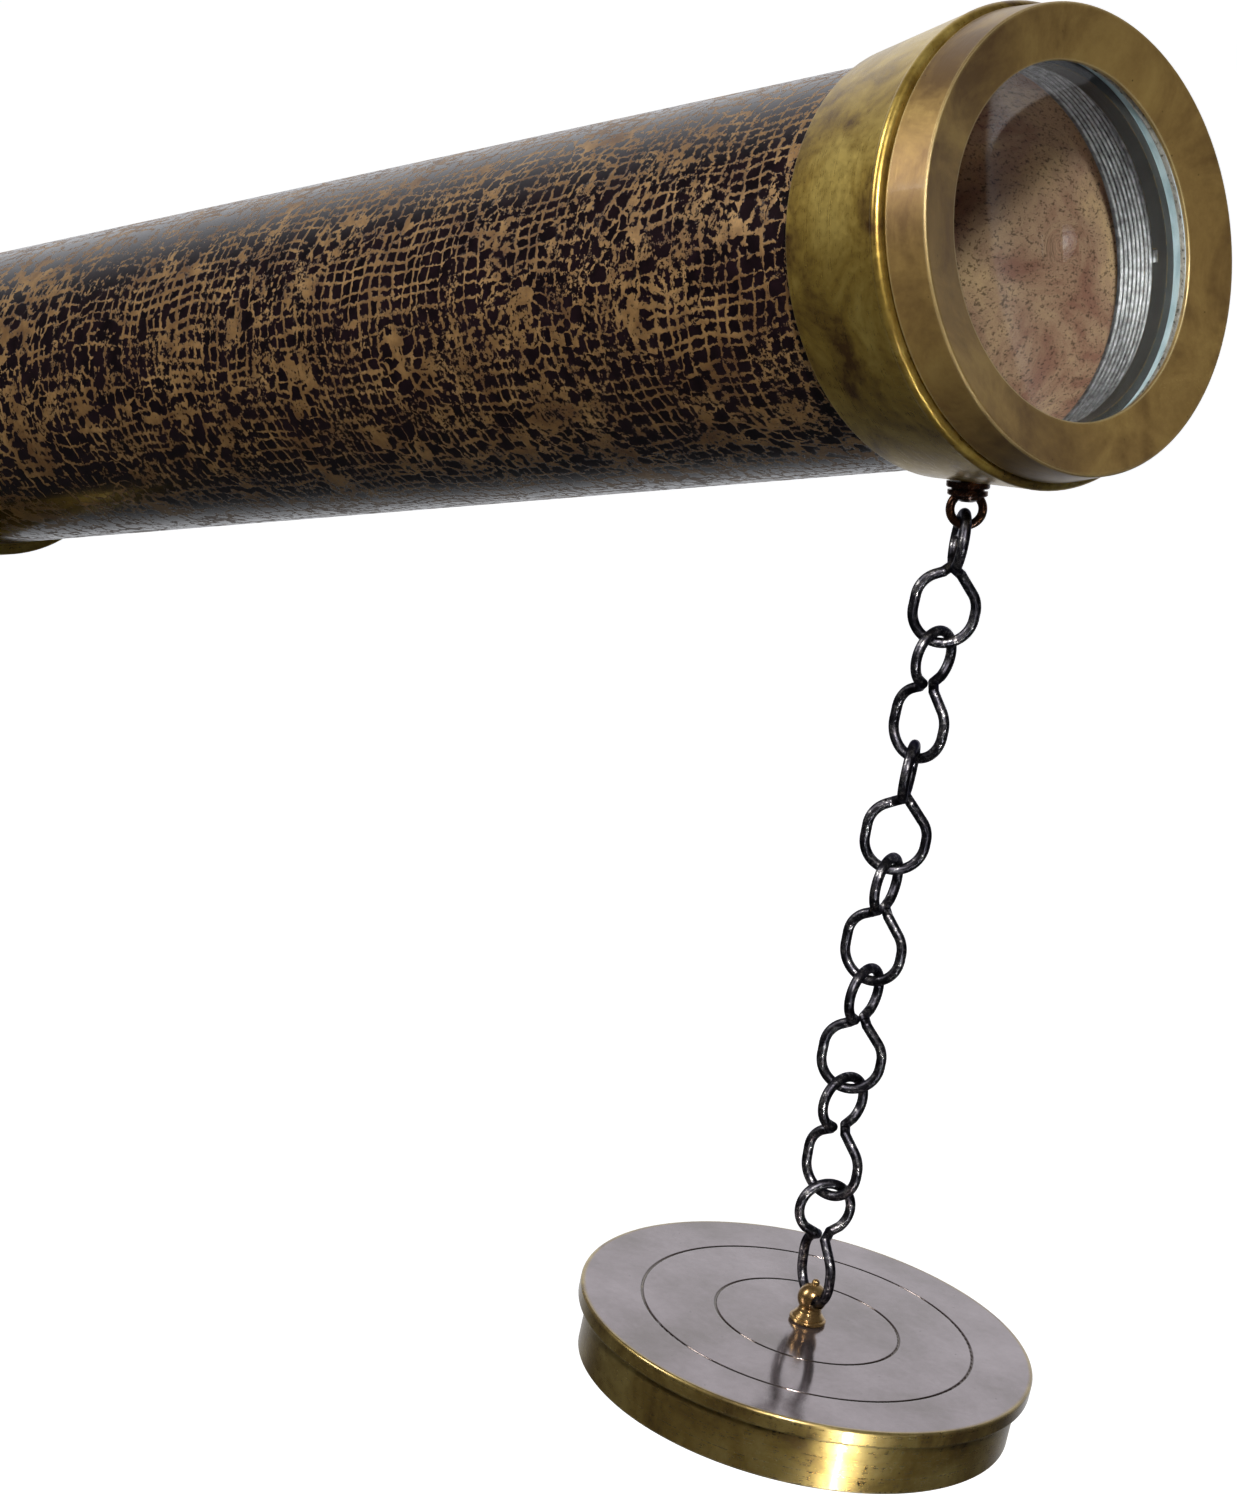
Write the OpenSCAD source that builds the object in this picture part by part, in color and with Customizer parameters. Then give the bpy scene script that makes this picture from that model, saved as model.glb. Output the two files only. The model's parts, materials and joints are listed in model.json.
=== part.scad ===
// Brass refracting telescope on a fork, with a lens cap hanging from a chain.
// Millimetres, +Z up. Origin: centre of the fork's shoulder, where its stem enters a pillar.
// The objective points towards +X and upwards; the tube's own axis is its local x.
// Along the tube, s is the distance behind the front edge of the objective's bezel.

/* [Pose] */
// Elevation of the tube above level, degrees
elev = 17; // [-20:0.5:60]
// Lean of the hanging cap about the wire it hangs on, degrees
cap_lean = -2.75; // [-10:0.25:10]

/* [Objective] */
// Outer radius of the bezel's front edge
bezel_r = 42; // [30:0.1:60]
// Clear radius of the bezel
clear_r = 32.1; // [20:0.1:50]
// Depth from the front edge to the bezel's inner edge
dish = 2.4; // [0.5:0.1:5]
// Distance from the front edge to the joint between bezel and collar
bezel_len = 9.4; // [6:0.1:15]
// Largest radius of the collar, at its shoulder
shoulder_r = 43.9; // [40:0.1:60]
// Radius of the collar's rear edge
collar_back_r = 40.2; // [38:0.1:50]
// Distance from the front edge to the collar's rear edge
collar_end = 35.7; // [25:0.1:60]
// Radius of the lens elements
lens_r = 34.1; // [20:0.1:50]

/* [Tube] */
// Outer radius of the main tube
tube_r = 38.1; // [25:0.1:60]
// Wall of the main tube
tube_wall = 1.2; // [0.8:0.1:3]
// Distance from the front edge to the main tube's rear end
tube_end = 640; // [400:1:900]
// Distance from the front edge to the tilt pivot, along the tube
pivot_s = 429; // [200:1:600]

/* [Fork and saddle] */
// Height of the tilt pivot above the fork's shoulder
pivot_z = 60; // [40:1:120]
// Distance from the tilt pivot to the tube's axis
axis_h = 62; // [50:1:100]
// Radius of the stem
stem_r = 10; // [6:0.5:20]
// Length of the stem's plain cylinder
stem_len = 40; // [20:1:80]
// Radius of the tilt bolt
bolt_r = 5; // [3:0.1:8]
// Half the width of the saddle's lug
lug_half = 8; // [4:0.5:15]
// Thickness of a fork cheek
cheek_t = 8; // [4:0.5:15]
// Radius of the rounded cheek tops
cheek_r = 15; // [10:0.5:25]
// Half the saddle's length
saddle_half = 53; // [25:1:80]
// Thickness of the saddle's trough
saddle_t = 3; // [2:0.1:6]

/* [Chain] */
// Radius of the chain's wire
wire_r = 1; // [0.5:0.05:2]
// Centre-line length of one link, between its two far wires
link_len = 25; // [15:0.1:40]
// Distance from the upper far wire to the waist
waist_at = 10.9; // [6:0.1:20]
// Centre-line radius of the upper lobe
lobe_up_r = 5.3; // [3:0.1:9]
// Centre-line radius of the lower lobe
lobe_low_r = 5.8; // [3:0.1:9]
// Half the distance between the wires at the waist
waist_half = 1.7; // [1:0.05:3]
// Clearance between one link's wire and the next
link_gap = 0.3; // [0.1:0.05:0.5]
// Compass direction of each link's upper lobe, degrees from +X
lobe_up_az = [-40, 96, 126, 111, 103, 88, 64];
// Compass direction of each link's lower lobe, degrees from +X
lobe_low_az = [46, 6, 46, 21, 36, 13, -17];
// How far each link leans from plumb towards the lean's direction, degrees
link_lean = [1.7, 1.7, 0.6, 0.6, 0.6, -0.6, -2.4];
// Compass direction of the links' lean, degrees from +X
lean_az = 229; // [0:1:359]

/* [Eye bolt] */
// Distance from the front edge to the eye bolt
eye_s = 30; // [15:0.5:35]
// Radius of the eye's hole
eye_hole_r = 2.2; // [1.5:0.1:4]
// Radius of the eye's own wire
eye_wire_r = 0.85; // [0.5:0.05:1.5]
// Distance from the collar's surface to the eye's centre
eye_drop = 5.1; // [4:0.1:10]

/* [Cap] */
// Radius of the cap's flange
cap_r = 46; // [40:0.1:60]
// Thickness of the cap's flange
cap_t = 3.3; // [1.5:0.1:6]
// Outer radius of the cap's skirt
skirt_r = 43.9; // [40:0.1:60]
// Inner radius of the cap's skirt
skirt_in_r = 42.8; // [40:0.05:60]
// Length of the skirt below the flange
skirt_len = 10.6; // [5:0.1:20]
// Radius of the outer engraved ring
ring_big_r = 33.6; // [20:0.1:45]
// Radius of the inner engraved ring
ring_small_r = 18.7; // [5:0.1:30]
// Height of the finial's cross hole above the cap's face
finial_hole_z = 5; // [3:0.1:10]

/* [Focuser] */
// Outer radius of the rack tube
rack_tube_r = 19; // [15:0.1:30]
// Module of the rack and pinion
gear_m = 0.8; // [0.5:0.1:1.5]
// Teeth on the pinion
pinion_teeth = 12; // [10:1:20]
// Distance from the front edge to the pinion's axis
pinion_s = 692; // [600:1:800]
// Distance from the front edge to the rack's first tooth
rack_s = 650; // [600:1:750]
// Teeth on the rack
rack_teeth = 42; // [20:1:60]
// Radius of the focusing knobs
knob_r = 14; // [8:0.5:25]

/* [Eyepiece] */
// Outer radius of the sliding draw tube
draw_r = 16; // [10:0.1:25]
// Distance from the front edge to the draw tube's inner end
draw_s = 690; // [650:1:760]
// Length of the draw tube
draw_len = 215; // [150:1:300]
// Distance from the front edge to the shutter's plate
eye_end = 950; // [900:1:1000]

/* [Hidden] */
fine = 96;
medium = 48;
small = 32;
run_gap = 0.05;
tube_in_r = tube_r - tube_wall;
collar_slope = (shoulder_r - collar_back_r) / (collar_end - bezel_len - 1.2);
collar_angle = atan(collar_slope);
collar_r_at_eye = collar_back_r + (collar_end - eye_s) * collar_slope;
eye_x = pivot_s - eye_s;
eye_z = -collar_r_at_eye;
// Centre of the eye, in the tube's frame
eye_c = [eye_x - eye_drop * sin(collar_angle), 0, eye_z - eye_drop * cos(collar_angle)];
// A point of the tube's frame, in the row's frame
function in_row(p) = [
    p[0] * cos(elev) - (p[2] + axis_h) * sin(elev),
    p[1],
    p[0] * sin(elev) + (p[2] + axis_h) * cos(elev) + pivot_z
];
eye_row = in_row(eye_c);
// From one link's upper far wire to the next one's
link_pitch = link_len - 2 * wire_r - link_gap;
chain_top = eye_row - [0, 0, eye_hole_r - wire_r - link_gap];
// The finial's cross hole, and how far its centre is above the wire in it
finial_hole_r = 1.65;
finial_hole_up = 0.32;
// Half the height of the wires' crossing from lobe to lobe at the waist
waist_step = 0.6;
shoulder_bend_r = 5.2;
// Between the link's two ends
end_gap = 0.24;
// The downward direction of link n, and the centre of its upper far wire
function link_dir(n) = [
    sin(link_lean[n - 1]) * cos(lean_az),
    sin(link_lean[n - 1]) * sin(lean_az),
    -cos(link_lean[n - 1])
];
function link_top(n) = n == 1 ? chain_top : link_top(n - 1) + link_pitch * link_dir(n - 1);
cap_hinge = link_top(7) + link_len * link_dir(7);
// The lenses' surface radii, and places along the tube from the bezel's face
crown_front_r = 380;
crown_back_r = 270;
lip_t = 3.2;
crown_edge_s = lip_t + 0.2;
crown_edge_t = 3.7;
air_gap = 0.4;
flint_back_s = crown_edge_s + 10.1;
lock_ring_t = 4.3;
// Rack and pinion
pitch_r = gear_m * pinion_teeth / 2;
rack_pitch = PI * gear_m;
rack_add = 0.55;
pinion_add = 0.8;
tooth_gap = 0.2;
flank = 20;
rack_line = rack_tube_r + 0.9 + pinion_add + tooth_gap;
pinion_z = -(rack_line + pitch_r + 0.04);
backlash = 0.12;
base_r = pitch_r * cos(flank);
housing_r = 23;
housing_in_r = 20.4;
shaft_r = 2.5;
washer_t = 1;
cheek_in = lug_half + washer_t + 0.3;
cheek_out = cheek_in + cheek_t;

// Carries children from the tube's frame to the row's frame.
module on_tube() {
    translate([0, 0, pivot_z])
        rotate([0, -elev, 0])
            translate([0, 0, axis_h])
                children();
}

// Turns a profile of [radius, -s] points about the tube's axis.
module turned(sides = fine) {
    on_tube()
        translate([pivot_s, 0, 0])
            rotate([0, 90, 0])
                rotate_extrude($fn = sides)
                    children();
}

// Moves children to distance s behind the front edge, on the tube's axis.
module at_s(s) {
    on_tube()
        translate([pivot_s - s, 0, 0])
            children();
}

// A slotted cheese-head screw along -z, its head above z = 0.
module screw(head_r, head_h, shank_r, shank_len) {
    difference() {
        union() {
            cylinder(r = head_r, h = head_h * 0.7, $fn = small);
            translate([0, 0, head_h * 0.7])
                cylinder(r1 = head_r, r2 = head_r * 0.8, h = head_h * 0.3, $fn = small);
            translate([0, 0, -shank_len])
                cylinder(r = shank_r, h = shank_len + 0.1, $fn = small);
        }
        translate([-head_r - 1, -head_r * 0.13, head_h * 0.55])
            cube([2 * head_r + 2, head_r * 0.26, head_h]);
    }
}

module bezel() {
    color([0.62, 0.52, 0.3])
        turned()
            difference() {
                polygon([
                    [clear_r, -dish], [bezel_r - 0.7, 0], [bezel_r - 0.25, 0],
                    [bezel_r, -0.3], [bezel_r + 0.6, -bezel_len + 0.8],
                    [bezel_r + 0.3, -bezel_len + 0.6], [bezel_r - 0.1, -bezel_len + 0.6],
                    [bezel_r - 0.1, -bezel_len], [40, -bezel_len], [40, -17.4],
                    [36.6, -17.4], [36.6, -27.5], [36.2, -28], [lens_r + 0.2, -28],
                    [lens_r + 0.2, -lip_t], [clear_r, -lip_t]
                ]);
                // Fine thread for the lock ring
                for (i = [0 : 11])
                    translate([lens_r + 0.2, -flint_back_s - 2.4 - i])
                        polygon([[-0.1, 0.4], [0.45, 0], [-0.1, -0.4]]);
            }
}

module collar() {
    color([0.62, 0.52, 0.3])
        difference() {
            turned()
                union() {
                    polygon([
                        [40, -17.4], [tube_r + run_gap, -17.4], [tube_r + run_gap, -collar_end],
                        [collar_back_r - 0.4, -collar_end], [collar_back_r, -collar_end + 0.4],
                        [shoulder_r - 0.1, -bezel_len - 1.5], [shoulder_r - 1.2, -bezel_len - 0.9],
                        [shoulder_r - 1.2, -bezel_len], [40, -bezel_len]
                    ]);
                    translate([shoulder_r - 1.25, -bezel_len - 1.25])
                        circle(r = 1.25, $fn = small);
                }
            eye_bolt_place()
                translate([0, 0, -8])
                    cylinder(r = 1.55, h = 10, $fn = small);
            eye_bolt_place()
                translate([0, 0, 0.05])
                    cylinder(r = 4.3, h = 4, $fn = medium);
        }
}

module crown_lens() {
    color([0.8, 0.88, 0.9, 0.35])
        turned()
            intersection() {
                translate([0, -20])
                    square([lens_r, 20]);
                translate([0, -crown_edge_s + sagitta(crown_front_r) - crown_front_r])
                    circle(r = crown_front_r, $fn = 720);
                translate([0, -crown_edge_s - crown_edge_t - sagitta(crown_back_r) + crown_back_r])
                    circle(r = crown_back_r, $fn = 720);
            }
}

// Depth of a lens face of radius r over the lens's width.
function sagitta(r) = r - sqrt(r * r - lens_r * lens_r);

module flint_lens() {
    color([0.8, 0.86, 0.8, 0.35])
        turned()
            difference() {
                translate([0, -flint_back_s])
                    square([lens_r, flint_back_s - crown_edge_s - crown_edge_t - air_gap]);
                translate([
                    0,
                    -crown_edge_s - crown_edge_t - air_gap - sagitta(crown_back_r) + crown_back_r
                ])
                    circle(r = crown_back_r, $fn = 720);
            }
}

module lens_spacer() {
    top = -crown_edge_s - crown_edge_t;
    color([0.75, 0.75, 0.75])
        turned()
            difference() {
                intersection() {
                    translate([lens_r - 1.2, top - 2])
                        square([1.2, 3]);
                    translate([0, top - air_gap + 0.02 - sagitta(crown_back_r) + crown_back_r])
                        circle(r = crown_back_r, $fn = 720);
                }
                translate([0, top - 0.02 - sagitta(crown_back_r) + crown_back_r])
                    circle(r = crown_back_r, $fn = 720);
            }
}

module lock_ring() {
    color([0.7, 0.68, 0.62])
        difference() {
            turned()
                polygon([
                    [lens_r - 2, -flint_back_s - 0.02], [lens_r + 0.15, -flint_back_s - 0.02],
                    [lens_r + 0.15, -flint_back_s - lock_ring_t],
                    [lens_r - 1.6, -flint_back_s - lock_ring_t],
                    [lens_r - 2, -flint_back_s - lock_ring_t + 0.4]
                ]);
            for (a = [0, 180])
                at_s(flint_back_s + lock_ring_t)
                    rotate([a + 90, 0, 0])
                        translate([-0.5, -1.2, lens_r - 3])
                            cube([2.2, 2.4, 4]);
        }
}

module main_tube() {
    color([0.25, 0.18, 0.13])
        difference() {
            turned()
                polygon([
                    [tube_in_r, -17.45], [tube_r, -17.45], [tube_r, -tube_end], [tube_in_r, -tube_end]
                ]);
            saddle_screw_places()
                translate([0, 0, -8])
                    cylinder(r = 1.65, h = 12, $fn = small);
        }
}

// A blackened diaphragm with a short sleeve, at distance s, with a hole of radius r.
module baffle(s, r) {
    color([0.1, 0.1, 0.1])
        turned()
            polygon([
                [r, -s], [tube_in_r - run_gap, -s], [tube_in_r - run_gap, -s - 10],
                [tube_in_r - 1.05, -s - 10], [tube_in_r - 1.05, -s - 1], [r + 0.8, -s - 1]
            ]);
}

module baffle_front() {
    baffle(150, 27.5);
}

module baffle_middle() {
    baffle(290, 22);
}

module baffle_rear() {
    baffle(500, 14.5);
}

// Where the eye bolt stands: its z axis points out of the collar, z = 0 on its surface.
module eye_bolt_place() {
    on_tube()
        translate([eye_x, 0, eye_z])
            rotate([0, 180 + collar_angle, 0])
                children();
}

module eye_bolt() {
    ring_r = eye_hole_r + eye_wire_r;
    color([0.45, 0.25, 0.15])
        union() {
            eye_bolt_place()
                rotate_extrude($fn = medium)
                    polygon([
                        [0, -2.6], [1.5, -2.6], [1.5, 0.05], [4.1, 0.05], [4.1, 0.95], [3.8, 1.2],
                        [3.1, 1.2], [3.1, 1.55], [3.8, 1.6], [3.8, 2.4], [3.5, 2.65],
                        [2.8, 2.65], [2.6, 3.3], [1.2, 3.8], [0, 3.8]
                    ]);
            translate(eye_row)
                rotate([0, 0, lobe_up_az[0]])
                    rotate([0, 90, 0])
                        rotate_extrude($fn = medium)
                            translate([ring_r, 0])
                                circle(r = eye_wire_r, $fn = small);
        }
}

// A straight length of wire between two points, in one lobe's plane.
module wire_run(a, b) {
    d = b - a;
    translate([a[0], 0, a[1]])
        rotate([0, atan2(d[0], d[1]), 0])
            cylinder(r = wire_r, h = norm(d), $fn = small);
}

// A bend of wire about c, of radius r, from angle a0 over sweep degrees, in the x-z plane.
module wire_bend(c, r, a0, sweep) {
    translate([c[0], 0, c[1]])
        rotate([90, 0, 0])
            rotate([0, 0, a0])
                rotate_extrude(angle = sweep, $fn = medium)
                    translate([r, 0])
                        circle(r = wire_r, $fn = small);
}

// A ball that joins two lengths of wire at p.
module wire_joint(p) {
    translate([p[0], 0, p[1]])
        sphere(r = wire_r * 1.02, $fn = small);
}

// Angle of the tangent point seen from the lobe's centre, for a line to the waist.
function tangent_a(r, reach) = atan2(reach, waist_half) - acos(r / norm([waist_half, reach]));

// Upper lobe: z = 0 at its far wire's centre, the waist below.
module lobe_up() {
    reach = waist_at - lobe_up_r;
    a = tangent_a(lobe_up_r, reach);
    touch = [lobe_up_r * cos(a), -lobe_up_r - lobe_up_r * sin(a)];
    wire_bend([0, -lobe_up_r], lobe_up_r, -a, 180 + 2 * a);
    wire_run(touch, [waist_half, -waist_at + waist_step]);
    wire_run([-touch[0], touch[1]], [-waist_half, -waist_at + waist_step]);
    wire_joint(touch);
    wire_joint([-touch[0], touch[1]]);
}

// One side of the lower lobe, from the bend's end up to the waist: side is -1 or 1, the wire
// rises straight by rise and then turns in by turn degrees.
module shoulder(side, rise, turn) {
    foot = [side * lobe_low_r, lobe_low_r - link_len];
    c = [side * (lobe_low_r - shoulder_bend_r), foot[1] + rise];
    knee = c + shoulder_bend_r * [side * cos(turn), sin(turn)];
    wire_run(foot, foot + [0, rise]);
    wire_bend(c, shoulder_bend_r, side > 0 ? 0 : 180 - turn, turn);
    wire_run(knee, [side * waist_half, -waist_at - waist_step]);
    wire_joint(foot);
    wire_joint(foot + [0, rise]);
    wire_joint(knee);
}

// Lower lobe: a rounder shoulder on -x than on +x.
module lobe_low() {
    wire_bend([0, lobe_low_r - link_len], lobe_low_r, 180, 180);
    shoulder(-1, 2.4, 62);
    shoulder(1, 1.2, 46);
}

// The wire through the waist, from the upper lobe's plane to the lower lobe's: side is 1 where
// the link's two ends meet, with a fine gap between them, and -1 on the unbroken side.
module waist_wire(up_az, low_az, side) {
    p = [side * waist_half * cos(up_az), side * waist_half * sin(up_az), -waist_at + waist_step];
    q = [side * waist_half * cos(low_az), side * waist_half * sin(low_az), -waist_at - waist_step];
    d = q - p;
    turned = [0, acos(d[2] / norm(d)), atan2(d[1], d[0])];
    translate(p)
        sphere(r = wire_r * 1.02, $fn = small);
    translate(q)
        sphere(r = wire_r * 1.02, $fn = small);
    if (side < 0)
        translate(p)
            rotate(turned)
                cylinder(r = wire_r, h = norm(d), $fn = small);
    if (side > 0)
        for (part = [0, 1])
            translate(p + part * d * (1 + end_gap / norm(d)) / 2)
                rotate(turned)
                    cylinder(r = wire_r, h = (norm(d) - end_gap) / 2, $fn = small);
}

// One chain link, bent from a single wire whose ends meet at the waist.
module link(n) {
    color([0.22, 0.2, 0.22])
        translate(link_top(n))
            rotate([0, 0, lean_az])
                rotate([0, -link_lean[n - 1], 0])
                    rotate([0, 0, -lean_az])
                        union() {
                            rotate([0, 0, lobe_up_az[n - 1]])
                                lobe_up();
                            rotate([0, 0, lobe_low_az[n - 1]])
                                lobe_low();
                            for (side = [-1, 1])
                                waist_wire(lobe_up_az[n - 1], lobe_low_az[n - 1], side);
                        }
}

// Where the cap hangs: z = 0 at the wire in the finial's hole, x along the hole.
module cap_place() {
    translate(cap_hinge)
        rotate([0, 0, lobe_low_az[6]])
            rotate([cap_lean, 0, 0])
                translate([0, 0, finial_hole_up - finial_hole_z])
                    children();
}

module cap_disc() {
    color([0.58, 0.54, 0.5])
        cap_place()
            rotate_extrude($fn = fine)
                difference() {
                    union() {
                        translate([0, -cap_t])
                            square([cap_r - 0.5, cap_t]);
                        translate([0, -cap_t + 0.5])
                            square([cap_r, cap_t - 1]);
                        translate([cap_r - 0.5, -0.5])
                            circle(r = 0.5, $fn = small);
                        translate([cap_r - 0.5, -cap_t + 0.5])
                            circle(r = 0.5, $fn = small);
                    }
                    translate([-1, -cap_t - 1])
                        square([skirt_in_r + 1, 2.2]);
                    for (r = [ring_big_r, ring_small_r])
                        translate([r, 0])
                            circle(r = 0.3, $fn = small);
                    translate([-1, -5])
                        square([2.05, 10]);
                }
}

module cap_skirt() {
    color([0.6, 0.5, 0.3])
        cap_place()
            rotate_extrude($fn = fine)
                polygon([
                    [skirt_in_r, -cap_t - skirt_len], [skirt_r - 0.3, -cap_t - skirt_len],
                    [skirt_r, -cap_t - skirt_len + 0.3], [skirt_r, -cap_t], [skirt_in_r, -cap_t]
                ]);
}

module cap_finial() {
    color([0.7, 0.5, 0.25])
        cap_place()
            difference() {
                rotate_extrude($fn = medium)
                    intersection() {
                        translate([0, -3])
                            square([6, 15]);
                        union() {
                            translate([0, 5.1])
                                circle(r = 3, $fn = medium);
                            translate([0, 8.3])
                                circle(r = 0.8, $fn = small);
                            polygon([
                                [0, -2.3], [1, -2.3], [1, 0.02], [3.45, 0.02], [3.7, 0.3],
                                [3.7, 0.75], [3.45, 0.95], [3.2, 1], [3.25, 1.3], [2.9, 1.7],
                                [2.45, 2.2], [2.25, 3], [0, 3]
                            ]);
                        }
                    }
                translate([-5, 0, finial_hole_z])
                    rotate([0, 90, 0])
                        cylinder(r = finial_hole_r, h = 10, $fn = small);
            }
}

// The saddle's screw seats: z points out of the tube, z = 0 on the trough's surface.
module saddle_screw_places() {
    for (x = [-saddle_half + 10, saddle_half - 10])
        for (a = [-42, 42])
            on_tube()
                translate([x, 0, 0])
                    rotate([180 + a, 0, 0])
                        translate([0, 0, tube_r + saddle_t])
                            children();
}

module saddle() {
    trough_r = tube_r + saddle_t;
    color([0.6, 0.5, 0.3])
        difference() {
            on_tube()
                union() {
                    difference() {
                        intersection() {
                            translate([-saddle_half, 0, 0])
                                rotate([0, 90, 0])
                                    cylinder(r = trough_r, h = 2 * saddle_half, $fn = fine);
                            translate([-saddle_half, -trough_r, -trough_r])
                                cube([2 * saddle_half, 2 * trough_r, trough_r - 16]);
                        }
                        translate([-saddle_half - 1, 0, 0])
                            rotate([0, 90, 0])
                                cylinder(r = tube_r + run_gap, h = 2 * saddle_half + 2, $fn = fine);
                    }
                    difference() {
                        translate([0, lug_half, 0])
                            rotate([90, 0, 0])
                                linear_extrude(height = 2 * lug_half)
                                    union() {
                                        polygon([
                                            [-34, -tube_r - 1.5], [34, -tube_r - 1.5], [30, -tube_r - 4.5],
                                            [13.2, -axis_h + 5], [-13.2, -axis_h + 5],
                                            [-30, -tube_r - 4.5]
                                        ]);
                                        translate([0, -axis_h])
                                            circle(r = 14, $fn = fine);
                                    }
                        translate([-saddle_half - 1, 0, 0])
                            rotate([0, 90, 0])
                                cylinder(r = tube_r + run_gap, h = 2 * saddle_half + 2, $fn = fine);
                    }
                }
            on_tube()
                translate([0, 0, -axis_h])
                    rotate([90, 0, 0])
                        cylinder(r = bolt_r + run_gap, h = 40, center = true, $fn = medium);
            saddle_screw_places()
                translate([0, 0, -8])
                    cylinder(r = 1.65, h = 12, $fn = small);
        }
}

module saddle_screws() {
    color([0.5, 0.4, 0.22])
        saddle_screw_places()
            translate([0, 0, 0.05])
                screw(3.4, 2.2, 1.6, saddle_t + tube_wall + 1.5);
}

module yoke() {
    floor_z = pivot_z - cheek_r - 4;
    color([0.55, 0.45, 0.27])
        difference() {
            union() {
                rotate_extrude($fn = fine)
                    polygon([
                        [0, -stem_len - 1.5], [stem_r - 1.5, -stem_len - 1.5], [stem_r, -stem_len],
                        [stem_r, 0], [21, 0], [22, 1], [22, 4.5], [20.5, 6], [17, 6.5],
                        [14.5, 9], [13, 14], [13.5, 20], [16, 24], [17, 27], [17, floor_z - 6],
                        [0, floor_z - 6]
                    ]);
                translate([-cheek_r, -cheek_out, floor_z - 12])
                    cube([2 * cheek_r, 2 * cheek_out, 12]);
                for (y = [-cheek_out, cheek_in])
                    translate([0, y + cheek_t, 0])
                        rotate([90, 0, 0])
                            linear_extrude(height = cheek_t)
                                union() {
                                    translate([-cheek_r, floor_z - 6])
                                        square([2 * cheek_r, pivot_z - floor_z + 6]);
                                    translate([0, pivot_z])
                                        circle(r = cheek_r, $fn = fine);
                                }
            }
            translate([0, 0, pivot_z])
                rotate([90, 0, 0])
                    cylinder(r = bolt_r + run_gap, h = 60, center = true, $fn = medium);
        }
}

module tilt_bolt() {
    tip = -cheek_out - 15;
    color([0.45, 0.44, 0.42])
        translate([0, 0, pivot_z])
            difference() {
                rotate([-90, 0, 0])
                    rotate_extrude($fn = medium)
                        polygon([
                            [0, tip], [bolt_r - 0.8, tip], [bolt_r, tip + 0.8],
                            [bolt_r, cheek_out + 0.02], [9.5, cheek_out + 0.02],
                            [9.5, cheek_out + 3.4], [8.2, cheek_out + 4.6], [0, cheek_out + 4.6]
                        ]);
                translate([-12, cheek_out + 3, -0.9])
                    cube([24, 4, 1.8]);
            }
}

module tilt_washers() {
    color([0.3, 0.18, 0.1])
        for (side = [-1, 1])
            translate([0, side * (cheek_in - washer_t / 2 - 0.01), pivot_z])
                rotate([90, 0, 0])
                    difference() {
                        cylinder(r = 12.5, h = washer_t, center = true, $fn = medium);
                        cylinder(r = bolt_r + 0.2, h = 4, center = true, $fn = medium);
                    }
}

// A turned knob along +z with a milled edge, bored for a shaft of radius bore.
module milled_knob(r, h, bore, mills) {
    difference() {
        rotate_extrude($fn = fine)
            polygon([
                [bore, 0], [r * 0.45, 0], [r * 0.45, h * 0.2], [r * 0.9, h * 0.28], [r, h * 0.36],
                [r, h * 0.86], [r * 0.92, h * 0.95], [r * 0.7, h], [r * 0.62, h * 0.93],
                [r * 0.4, h * 0.93], [r * 0.36, h], [bore, h]
            ]);
        for (i = [0 : mills - 1])
            rotate([0, 0, i * 360 / mills])
                translate([r + 0.25, 0, h * 0.3])
                    cylinder(r = 0.75, h = h, $fn = 16);
    }
}

module clamp_knob() {
    color([0.6, 0.5, 0.3])
        translate([0, -cheek_out - 0.3, pivot_z])
            rotate([90, 0, 0])
                milled_knob(15, 12, bolt_r + run_gap, 40);
}

// The four seats of the housing's flange screws, z pointing backwards.
module housing_screw_places() {
    for (a = [45 : 90 : 315])
        at_s(655.5)
            rotate([a, 0, 0])
                translate([0, 0, 26.4])
                    rotate([0, -90, 0])
                        children();
}

module tail_collar() {
    color([0.62, 0.52, 0.3])
        difference() {
            turned()
                union() {
                    polygon([
                        [tube_r + run_gap, -641], [housing_r + run_gap, -641],
                        [housing_r + run_gap, -652], [31, -652], [34, -649.5], [39.5, -647],
                        [41, -644], [41, -628], [40.2, -627], [40.2, -621], [39.6, -620],
                        [tube_r + run_gap, -620]
                    ]);
                    translate([40.7, -632])
                        circle(r = 1.5, $fn = small);
                    translate([40.7, -640])
                        circle(r = 1.1, $fn = small);
                }
            housing_screw_places()
                translate([0, 0, -12])
                    cylinder(r = 1.3, h = 14, $fn = small);
        }
}

module focuser_housing() {
    color([0.62, 0.52, 0.3])
        difference() {
            turned()
                polygon([
                    [housing_in_r, -642], [housing_r, -642], [housing_r, -652.02],
                    [30.2, -652.02], [30.2, -654.5], [29.2, -655.5], [housing_r + 1, -655.5],
                    [housing_r, -657], [housing_r, -726], [24.4, -727.5], [24.8, -730],
                    [24.4, -733], [23.4, -735], [housing_in_r, -735]
                ]);
            // Way for the rack
            at_s(740)
                translate([0, -2.9, -22.3])
                    cube([102, 5.8, 6]);
            // Opening for the pinion
            at_s(pinion_s)
                translate([-6.6, -5, -26])
                    cube([13.2, 10, 8]);
            housing_screw_places()
                translate([0, 0, -12])
                    cylinder(r = 1.3, h = 14, $fn = small);
        }
}

module housing_screws() {
    color([0.5, 0.4, 0.22])
        housing_screw_places()
            translate([0, 0, 0.02])
                screw(2.4, 1.6, 1.25, 9);
}

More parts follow.
